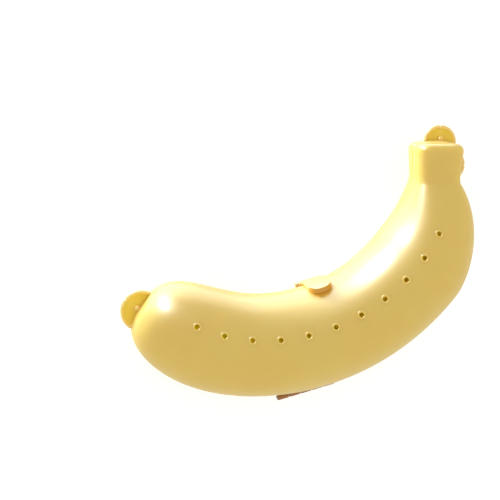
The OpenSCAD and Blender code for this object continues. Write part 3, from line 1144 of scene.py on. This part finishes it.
@dataclass
class Latch:
    """The strap, its barrel and pin, and the ears; the pin's end is in shares of its radius."""

    sizes: CaseSizes
    middle_x: float = 9.2
    width: float = 12.0
    thick: float = 1.5
    sink: float = 1.3
    gap: float = 0.3
    reach: float = 15.5
    pivot_back: float = 12.0
    barrel_r: float = 1.5
    lip_h: float = 1.1
    lip_b: float = 2.5
    lip_ramp: float = 0.4
    # Share of the edge's rounding past which the round end takes the painted shade of the lip
    thin_edge: float = 0.6
    tip_half: float = 0.02
    bore_wall: float = 0.1
    ear_t: float = 2.5
    edge: float = 0.4
    pin_end: tuple[Flat, ...] = ((0.0, 0.0), (0.0, 0.6), (0.08, 0.8), (0.2, 0.93), (0.4, 1.0))
    recess_steps: int = 92
    ear_steps: int = 24
    columns: int = 36
    straight_rows: int = 40
    round_rows: int = 26
    crease: float = 50.0

    @property
    def half(self) -> float:
        """Half the width of the strap."""
        return self.width / 2

    @property
    def round_z(self) -> float:
        """Height above the seam where the strap's round end starts."""
        return self.reach - self.half

    @property
    def ear_x(self) -> float:
        """Distance of each ear's inner face from the middle of the strap."""
        return self.half + self.gap

    @property
    def recess_r(self) -> float:
        """Radius of the recess about the hinge line."""
        side_y = self.sizes.concave_y(self.middle_x + self.ear_x, 0.0)
        return side_y - self.sizes.hinge_y - self.sink

    @property
    def pivot(self) -> Flat:
        """Y and Z of the pin that the strap swings on."""
        return (self.sizes.hinge_y + math.sqrt(self.recess_r ** 2 - self.pivot_back ** 2),
                self.sizes.mid_z - self.pivot_back)

    def recess(self, mould: Mould) -> None:
        """Adds the cutter for the hollow under the strap, with the pocket for its barrel.

        Args:
            mould: the mesh that gets the cutter.
        """
        pocket_r = self.barrel_r + self.gap
        tall = self.pivot_back + pocket_r
        mid_z, outside = self.sizes.mid_z, 2 * self.sizes.body_r
        outline = []
        for i in range(self.recess_steps + 1):
            z = -tall + 2 * tall * i / self.recess_steps
            y = self.sizes.hinge_y + math.sqrt(self.recess_r ** 2 - z * z)
            deep = math.sqrt(max(pocket_r ** 2 - (z + self.pivot_back) ** 2, 0.0))
            if deep > 0:
                y = min(y, self.pivot[0] - deep)
            outline.append((y, mid_z + z))
        outline += [(outside, mid_z + tall), (outside, mid_z - tall)]
        mould.prism(outline, self.middle_x - self.ear_x, self.middle_x + self.ear_x)

    def ears(self, material: Material) -> Thing:
        """Makes the two ears with rounded ends.

        Args:
            material: their finish.

        Returns:
            The ears.
        """
        y, z = self.pivot
        turns = [HALF_TURN * i / self.ear_steps - QUARTER_TURN for i in range(self.ear_steps + 1)]
        nose = [(y + self.barrel_r * math.cos(turn), z + self.barrel_r * math.sin(turn))
                for turn in turns]
        mould = Mould()
        for x0 in (self.middle_x - self.ear_x - self.ear_t, self.middle_x + self.ear_x):
            side_y = self.sizes.concave_y(x0 + self.ear_t / 2, self.pivot_back)
            foot = side_y - self.sizes.root
            outline = [(foot, z - self.barrel_r), *nose, (foot, z + self.barrel_r)]
            mould.prism(outline, x0, x0 + self.ear_t, self.edge, (y, z, self.sizes.bore_r))
        return mould.finish("latch_ears", material)

    def strap(self, material: Material) -> Thing:
        """Makes the strap with its finger lip and barrel.

        Args:
            material: its finish.

        Returns:
            The strap.
        """
        half, straight = self.half, self.pivot_back + self.round_z
        rows = [(-self.pivot_back + straight * i / self.straight_rows, half)
                for i in range(self.straight_rows)]
        rows += [(self.round_z + half * math.sin(turn), max(half * math.cos(turn), self.tip_half))
                 for turn in quarter(self.round_rows)]
        mould = Mould()
        tops, unders = ([self._row(mould, z, wide, top) for z, wide in rows]
                        for top in (True, False))
        strips = [*zip(tops, tops[1:]), *zip(unders, unders[1:])]
        strips += [([row[k] for row in tops], [row[k] for row in unders]) for k in (0, -1)]
        strips += [(tops[i], unders[i]) for i in (0, -1)]
        for first, second in strips:
            mould.band(first, second)
        barrel = [(0.0, self.sizes.bore_r), (0.0, self.barrel_r - self.edge),
                  (self.edge, self.barrel_r)]
        mould.turned(both_ends(barrel, -half, half), (self.middle_x, *self.pivot), Axis.X)
        return mould.finish("latch_strap", material, self.crease)

    def _row(self, mould: Mould, z: float, wide: float, top: bool) -> list[Vert]:
        """Adds one row of points across the strap.

        Args:
            mould: the strap's mesh.
            z: height above the seam.
            wide: half the width of the row.
            top: whether the row is on the outer face.

        Returns:
            The new vertices.
        """
        past, from_pivot = z - self.round_z, z + self.pivot_back
        strap_r = self.recess_r + self.gap
        bore = self.sizes.bore_r + self.bore_wall
        made = []
        for k in range(self.columns + 1):
            x = wide * math.sin(QUARTER_TURN * (2 * k / self.columns - 1))
            inside = min(self.half - math.hypot(x, max(past, 0.0)), from_pivot)
            low = self.edge - min(max(inside, 0.0), self.edge)
            drop = self.edge - math.sqrt(max(self.edge ** 2 - low * low, 0.0))
            lip = 0.0
            if past > -self.lip_b:
                out = math.hypot(x, past + self.lip_b) - self.half
                rise = min(max(out / (self.lip_ramp * self.lip_b), 0.0), 1.0)
                lip = self.lip_h * rise * rise * (3 - 2 * rise)
            radius = strap_r + self.thick + lip - drop if top else strap_r + drop
            y = self.sizes.hinge_y + math.sqrt(radius ** 2 - z * z)
            if abs(from_pivot) < bore:
                y = max(y, self.pivot[0] + math.sqrt(bore ** 2 - from_pivot ** 2))
            # Painted shade: the rounded edge of the strap's round end takes the deep orange that
            # stands for the shade on and under the lip
            thin = 1.0 if low > self.thin_edge * self.edge and past > 0 else 0.0
            made += mould.ring([(self.middle_x + x, y, self.sizes.mid_z + z)], thin)
        return made

    def pin(self, material: Material) -> Thing:
        """Makes the strap's plain pin with rounded ends.

        Args:
            material: its finish.

        Returns:
            The pin.
        """
        out, wide = self.ear_x + self.ear_t, self.sizes.pin_r
        end = [(x * wide, r * wide) for x, r in self.pin_end]
        mould = Mould()
        mould.turned(both_ends(end, -out, out), (self.middle_x, *self.pivot), Axis.X)
        return mould.finish("strap_pin", material)


# The finger tabs on the seam


@dataclass
class Tab:
    """One finger tab: a rimmed half disc that stands out of the seam."""

    sizes: CaseSizes
    foot: Vector
    way: float
    radius: float
    out: float
    thick: float = 2.0
    root_in: float = 0.8
    fit: float = 0.05
    notch: float = 0.6
    button_r: float = 1.5
    button_h: float = 1.6
    button_side: float = 0.45
    peg_r: float = 0.8
    peg_fit: float = 0.3
    peg_tip: float = 0.8
    peg_bevel: float = 0.2
    edge: float = 0.5
    rim: float = 1.4
    panel_sink: float = 0.45
    # Share of painted shade halfway down the slope into the sunk panel
    slope_thin: float = 0.8
    rays: int = 132
    edge_steps: int = 5
    hole_steps: int = 24
    dome_steps: int = 6
    button_steps: int = 32
    crease: float = 50.0

    @property
    def floor_z(self) -> float:
        """Height of the tab's lower face."""
        return self.sizes.mid_z - self.sizes.seam / 2 - self.thick

    @property
    def root(self) -> float:
        """Distance of the straight inner edge from the disc's middle, along the tab's way."""
        return self.radius - self.out - self.sizes.wall - self.root_in

    @property
    def button_spot(self) -> Vector:
        """Where the button that holds the tab stands, just outside the shell."""
        return self.foot + self.button_r / 2 * CaseSizes.along(self.way)

    def _loop(self, inset: float, z: float, grow: float = 0.0) -> list[Spot]:
        """Outline of the tab.

        Args:
            inset: how far inside the edge the loop runs.
            z: its height.
            grow: how much wider it is, as for the tab's slot.

        Returns:
            The points of the loop.
        """
        along = CaseSizes.along(self.way)
        across = Vector((-along.y, along.x))
        disc = self.foot + (self.out - self.radius) * along
        hub = (self.root + self.radius) / 2
        wide = self.radius + grow
        points = []
        for c, s in circle(1.0, self.rays):
            far = -hub * c + math.sqrt((hub * c) ** 2 + wide ** 2 - hub ** 2)
            if c < -TINY:
                far = min(far, (hub - self.root + grow) / -c)
            if grow == 0.0 and c - abs(s) > TINY:
                far = min(far, (self.radius - self.notch - hub) / (c - abs(s)))
            spot = disc + (hub + (far - inset) * c) * along + (far - inset) * s * across
            points.append((spot.x, spot.y, z))
        return points

    def slot(self, mould: Mould) -> None:
        """Adds the cutter for the tab's slot in the back half.

        Args:
            mould: the mesh that gets the cutter.
        """
        heights = (self.floor_z - self.fit, self.floor_z + self.thick + self.sizes.seam)
        rings = [mould.ring(self._loop(0.0, z, self.fit)) for z in heights]
        mould.chain(rings)
        for ring in rings:
            mould.cap(ring)

    def build(self, name: str, material: Material) -> Thing:
        """Makes the tab with its rounded rim, sunk panels and peg hole.

        Args:
            name: name of the new object.
            material: its finish.

        Returns:
            The tab.
        """
        half, sink = self.thick / 2, self.panel_sink
        middle = self.floor_z + half
        shape = [(self.edge * (1 - math.cos(turn)), half - self.edge * (1 - math.sin(turn)), 0.0)
                 for turn in quarter(self.edge_steps)]
        # Painted light and shade: the rim keeps the pale colour that paints the light on it; the
        # sunk panel and the peg hole take the deeper painted-shade colour
        shape += [(self.rim, half, 0.0), (self.rim + sink / 2, half - sink / 2, self.slope_thin),
                  (self.rim + sink, half - sink, 1.0)]
        levels = [*reversed(shape), *((inset, -up, thin) for inset, up, thin in shape)]
        mould = Mould()
        rings = [mould.ring(self._loop(inset, middle + up), thin) for inset, up, thin in levels]
        mould.chain(rings)
        x, y = self.button_spot
        loop = circle(self.peg_r + self.peg_fit, self.hole_steps)
        holes = [mould.ring([(x + a, y + b, middle + up) for a, b in loop], 1.0)
                 for up in (half - sink, sink - half)]
        mould.join(*holes)
        mould.cap(rings[0], holes[0])
        mould.cap(rings[-1], holes[1])
        return mould.finish(name, material, self.crease)

    def button(self, mould: Mould) -> None:
        """Adds the domed button on its peg, which belongs to the front half.

        Args:
            mould: the mesh that gets the button.
        """
        rim_z = self.sizes.mid_z + self.sizes.seam / 2
        low = self.floor_z + self.thick / 2 - rim_z
        side = self.button_side * self.button_h
        profile = [(low, 0.0), (low, self.peg_tip * self.peg_r), (low + self.peg_bevel, self.peg_r),
                   (0.0, self.peg_r), (0.0, self.button_r), (side, self.button_r)]
        profile += [(side + (self.button_h - side) * math.sin(turn), self.button_r * math.cos(turn))
                    for turn in quarter(self.dome_steps)[1:-1]]
        profile.append((self.button_h, 0.0))
        mould.turned(profile, (*self.button_spot, rim_z), Axis.Z, self.button_steps)


# Studio


class LightUse(Enum):
    """What a softbox does: it shapes the shade, or it shows as a reflection."""

    SHADE = "shade"
    GLOSS = "gloss"


@dataclass(frozen=True)
class Softbox:
    """A soft light over the standing case, in degrees towards the tip and behind it, and metres."""

    name: str
    turn: float
    behind: float
    size: Flat
    power: float
    use: LightUse
    colour: Spot = (1.0, 1.0, 1.0)
    distance: float = 0.8


@dataclass
class Studio:
    """Floor, lights and camera, set out in the axes of a case that stands on its belly."""

    sizes: CaseSizes
    lean: float = 13.937
    camera_spot: Spot = (-117.33, -578.6, 41.2)
    camera_azimuth: float = -10.80
    camera_elevation: float = 9.36
    focal_pixels: float = 1152.6
    frame_pixels: float = 500.0
    sensor: float = 36.0
    clip_start: float = 0.01
    softboxes: tuple[Softbox, ...] = (
        Softbox("key_softbox", 52.0, 28.0, (0.36, 0.3), 9.4, LightUse.SHADE, (0.9, 1.08, 1.5)),
        Softbox("sheen_softbox", 14.0, 28.0, (1.3, 0.86), 10.6, LightUse.GLOSS),
        Softbox("gloss_softbox", 33.0, -7.0, (0.09, 0.5), 15.0, LightUse.GLOSS))
    target_y: float = 0.02
    world_glow: float = 0.83
    world_colour: Colour = (1.0, 0.95, 0.8, 1.0)
    floor_size: float = 4.0
    floor_cells: int = 8

    def stand(self, x: float, y: float, z: float) -> Vector:
        """Turns a direction of the standing case into the lying frame."""
        c, s = math.cos(self.lean * RAD), math.sin(self.lean * RAD)
        return Vector((x * c + z * s, -x * s + z * c, -y))

    def build(self, pieces: Sequence[Thing]) -> None:
        """Sets up the floor, the light, the world and the camera.

        Args:
            pieces: the pieces of the case.
        """
        self._floor()
        blockers = bpy.data.collections.new("light_blockers")
        for piece in pieces:
            blockers.objects.link(piece)
        for box in self.softboxes:
            self._light(box, blockers)
        world = bpy.data.worlds.new("studio")
        world.use_nodes = True
        glow = world.node_tree.nodes["Background"].inputs
        glow["Color"].default_value = self.world_colour
        glow["Strength"].default_value = self.world_glow
        bpy.context.scene.world = world
        bpy.context.scene.view_settings.view_transform = "Standard"
        self._camera()

    def _floor(self) -> None:
        """Makes the plain pale floor, which neither lights the case nor reflects in it."""
        mesh = bmesh.new()
        bmesh.ops.create_grid(mesh, x_segments=self.floor_cells, y_segments=self.floor_cells,
                              size=self.floor_size)
        data = bpy.data.meshes.new("floor")
        mesh.to_mesh(data)
        mesh.free()
        data.materials.append(PaleFloor("pale_floor").material())
        floor = bpy.data.objects.new("floor", data)
        bpy.context.scene.collection.objects.link(floor)
        floor.visible_diffuse = False
        floor.visible_glossy = False

    def _light(self, box: Softbox, blockers: bpy.types.Collection) -> None:
        """Adds one softbox; the floor doesn't shade it.

        Args:
            box: the softbox.
            blockers: the pieces of the case, which do.
        """
        data = bpy.data.lights.new(box.name, "AREA")
        data.shape = "RECTANGLE"
        data.size, data.size_y = box.size
        data.energy = box.power
        data.color = box.colour
        target = Vector((0.0, self.target_y, self.sizes.mid_z * MM))
        turn, behind = box.turn * RAD, box.behind * RAD
        way = self.stand(-math.sin(turn) * math.cos(behind), math.sin(behind),
                         math.cos(turn) * math.cos(behind))
        light = bpy.data.objects.new(box.name, data)
        light.matrix_world = (Matrix.Translation(target + box.distance * way)
                              @ way.to_track_quat("Z", "Y").to_matrix().to_4x4())
        bpy.context.scene.collection.objects.link(light)
        light.light_linking.blocker_collection = blockers
        light.visible_diffuse = box.use is LightUse.SHADE
        light.visible_glossy = box.use is LightUse.GLOSS

    def _camera(self) -> None:
        """Puts the camera where the photograph was taken from."""
        azimuth, elevation = self.camera_azimuth * RAD, self.camera_elevation * RAD
        back = self.stand(math.sin(azimuth) * math.cos(elevation),
                          -math.cos(azimuth) * math.cos(elevation), math.sin(elevation))
        right = self.stand(math.cos(azimuth), math.sin(azimuth), 0.0)
        turn = Matrix((right, back.cross(right), back)).transposed().to_4x4()
        spot = self.stand(*(c * MM for c in self.camera_spot))
        spot += Vector((0.0, self.sizes.bend_r * MM, self.sizes.mid_z * MM))
        data = bpy.data.cameras.new("camera")
        data.sensor_width = self.sensor
        data.lens = self.sensor * self.focal_pixels / self.frame_pixels
        data.clip_start = self.clip_start
        camera = bpy.data.objects.new("camera", data)
        camera.matrix_world = Matrix.Translation(spot) @ turn
        bpy.context.scene.collection.objects.link(camera)
        bpy.context.scene.camera = camera


# The whole case


@dataclass
class BananaCase:
    """All pieces of the case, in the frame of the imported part."""

    sizes: CaseSizes
    tip_tab_r: float = 10.8
    tip_tab_shift: float = 3.5
    tip_tab_out: float = 8.8
    stem_tab_r: float = 8.9
    stem_tab_shift: float = 2.2
    stem_tab_out: float = 8.0
    neck_tab_out: float = 4.4
    tab_space: float = 1.0

    @staticmethod
    def finishes() -> list[Material]:
        """Makes the finishes of the case.

        Returns:
            The finishes of the shells, the vent rims in their painted glow, the tabs and the strap
            in their painted light and shade, the knuckles in their painted shade, and the pins.
        """
        looks = (
            MouldedPlastic("shell_plastic_look", srgb(254, 205, 104), srgb(251, 198, 92)),
            # The vent rims' brighter yellow is painted light: the light that the raised rims catch
            # and let through
            MouldedPlastic("rim_plastic_look", srgb(255, 220, 96), srgb(253, 212, 84),
                           subsurface=0.2),
            # The tabs' pale rim is painted light on the rounded rim; their deeper panel colour is
            # painted shade and light shining through the thin plastic
            MouldedPlastic("tab_plastic_look", srgb(251, 224, 142), srgb(247, 216, 126),
                           srgb(242, 213, 72), subsurface=0.03),
            # The strap's paler top is painted light; its deep orange lip edge is painted shade
            MouldedPlastic("latch_plastic_look", srgb(253, 215, 124), srgb(250, 207, 110),
                           srgb(212, 152, 36), subsurface=0.1),
            # The knuckles' dark amber-brown is painted shade: the shade under the belly, laid on
            # the shell's own plastic
            MouldedPlastic("hinge_plastic_look", srgb(166, 106, 30), srgb(140, 84, 20),
                           subsurface=0.1),
            DrawnSteel("pin_steel_look", srgb(205, 207, 210), srgb(150, 152, 156)))
        return [look.material() for look in looks]

    def tabs(self) -> dict[str, Tab]:
        """Places the three finger tabs.

        Returns:
            The tabs by the place that they have.
        """
        size = self.sizes
        tip_way = 2 * RIGHT_ANGLE - size.tip_angle
        tip_end = size.bend_point(size.mid_radius(-size.tip_angle), -size.tip_angle)
        tip_foot = tip_end + self.tip_tab_shift * CaseSizes.along(-size.tip_angle - RIGHT_ANGLE)
        neck_way = size.stem_angle - RIGHT_ANGLE
        stem_side = CaseSizes.along(neck_way)
        stem_end = size.stem_len + size.stem_crown
        stem_foot = size.stem_point(stem_end) + self.stem_tab_shift * stem_side
        stem = Tab(size, stem_foot, size.stem_angle, self.stem_tab_r, self.stem_tab_out)
        neck_h = stem_end - size.wall - stem.root_in - self.tab_space - self.stem_tab_r
        neck_foot = size.stem_point(neck_h) + size.stem_half(neck_h) * stem_side
        return {
            "tip": Tab(size, tip_foot, tip_way, self.tip_tab_r, self.tip_tab_out),
            "stem": stem,
            "neck": Tab(size, neck_foot, neck_way, self.stem_tab_r, self.neck_tab_out),
        }

    def build(self) -> list[Thing]:
        """Makes, dresses and ties every piece.

        Returns:
            The pieces.
        """
        shell_look, rim_glow_look, tab_light_and_shade_look, latch_light_and_shade_look, hinge_shade_look, steel = self.finishes()
        vents, hinge, latch, tabs = Vents(), Hinge(self.sizes), Latch(self.sizes), self.tabs()
        halves = [HalfShell(self.sizes, vents, side) for side in Side]
        vent_cutter = vents.cutter(self.sizes.wall)
        pieces = []
        for half in halves:
            cutters = Mould()
            latch.recess(cutters)
            hinge.rooms(cutters, half.side)
            if half.side is Side.BACK:
                for tab in tabs.values():
                    tab.slot(cutters)
            cutter = hidden(cutters.finish(half.side.word + "_cutters"))
            shell = half.build(cutter, vent_cutter, shell_look)
            pieces.append(taken(shell, half.side.body, "shell_plastic", half.side.word + "_shell"))
        for half in halves:
            pieces.append(taken(half.rims(rim_glow_look), half.side.body, "shell_plastic"))
        for side in Side:
            pieces.append(taken(hinge.knuckles(side, hinge_shade_look), side.body, "tab_plastic"))
        buttons = Mould()
        for tab in tabs.values():
            tab.button(buttons)
        pieces += [
            taken(hinge.pin(steel), "back_half", "pin_steel", "hinge_pin"),
            taken(latch.ears(shell_look), "back_half", "shell_plastic"),
            taken(latch.strap(latch_light_and_shade_look), "latch", "tab_plastic", "centre_latch"),
            taken(latch.pin(steel), "back_half", "pin_steel", "latch_pin"),
            taken(buttons.finish("tab_buttons", shell_look), "front_half", "shell_plastic"),
        ]
        for place, tab in tabs.items():
            piece = tab.build(place + "_tab", tab_light_and_shade_look)
            pieces.append(taken(piece, "back_half", "tab_plastic", place + "_clip"))
        return pieces


def main() -> None:
    """Builds the case and the studio and reports each piece's face count."""
    logging.basicConfig(level=logging.INFO, format="%(message)s")
    sizes = CaseSizes()
    pieces = BananaCase(sizes).build()
    for piece in pieces:
        LOG.info("%s has %d faces", piece.name, len(piece.data.polygons))
    Studio(sizes).build(pieces)


if __name__ == "__main__":
    main()
